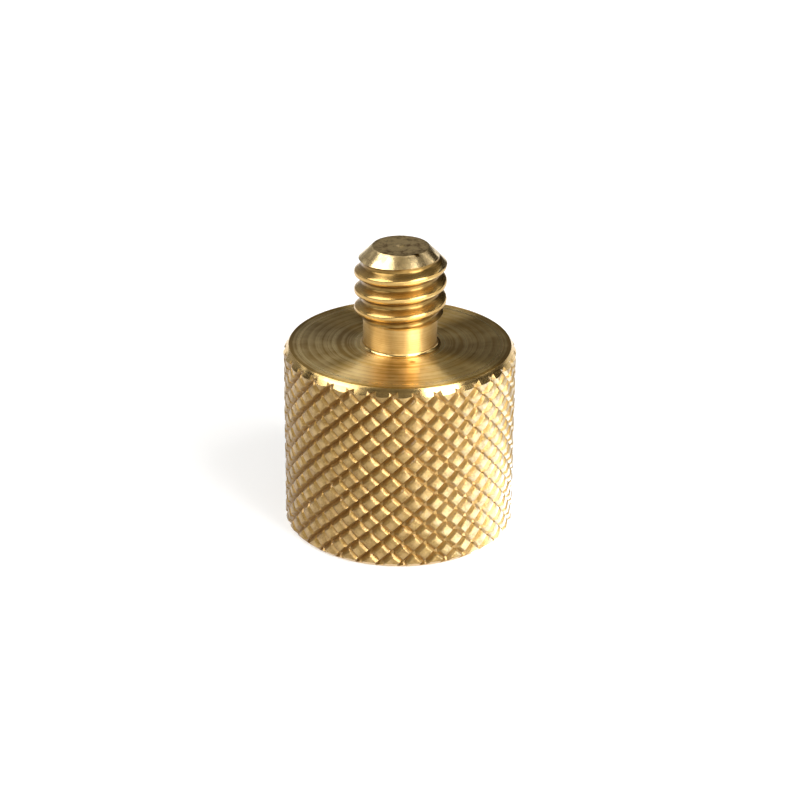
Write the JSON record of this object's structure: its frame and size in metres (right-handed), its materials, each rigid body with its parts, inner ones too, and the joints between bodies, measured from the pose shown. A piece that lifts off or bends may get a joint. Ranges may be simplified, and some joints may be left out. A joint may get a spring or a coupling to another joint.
{
  "type": "tripod thread adapter",
  "caption": "Knurled brass cylinder with a threaded camera stud on one end and a larger tapped tripod socket in the other.",
  "frame": {"origin": "centre of the base face, the flat ring around the mouth of the tapped socket", "axes": "+Z along the turning axis, from the base face to the tip of the stud; -Y towards the side that the picture shows"},
  "size_m": [0.0158, 0.0158, 0.0201],
  "materials": {
    "turned_brass": "bare brass, machined and knurled, with fine turning marks on its flat faces"
  },
  "bodies": {
    "root": {"thread_adapter": "turned_brass"}
  },
  "joints": []
}
